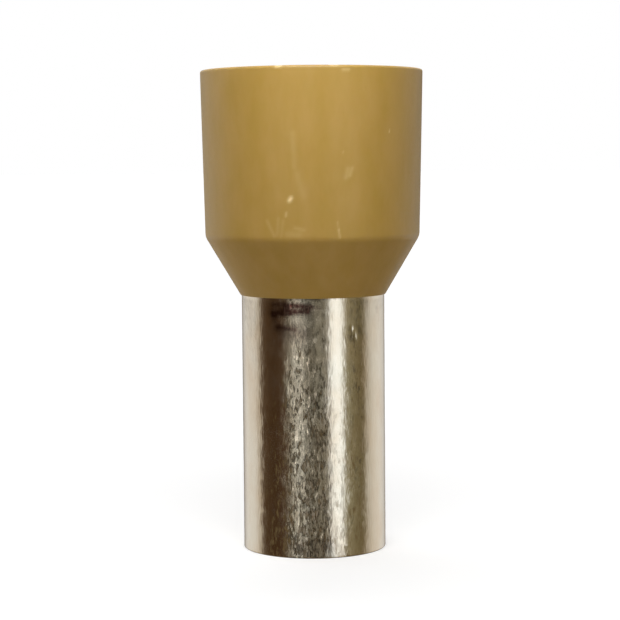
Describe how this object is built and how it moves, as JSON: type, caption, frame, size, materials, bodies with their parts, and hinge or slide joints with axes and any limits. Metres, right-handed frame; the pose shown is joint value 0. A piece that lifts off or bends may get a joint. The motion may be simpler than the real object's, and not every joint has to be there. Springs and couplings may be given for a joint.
{
  "type": "insulated wire ferrule",
  "caption": "End sleeve for a stranded cable: a thin metal crimp tube whose flared end is held in a conical plastic collar with a wider socket for the cable's insulation.",
  "frame": {"origin": "centre of the foot of the sleeve, on the surface that the ferrule stands on", "axes": "+Z along the axis, from the sleeve's foot up to the collar's rim; X and Y are any two directions across it, because the part is round"},
  "size_m": [0.0138, 0.0138, 0.03],
  "materials": {
    "tinned_copper": "drawn copper tube with a thin bright tin plating, lightly streaked along its length",
    "collar_plastic": "injection-moulded polypropylene in ochre beige, semi-matte"
  },
  "bodies": {
    "root": {"crimp_sleeve": "tinned_copper", "insulating_collar": "collar_plastic"}
  },
  "joints": []
}
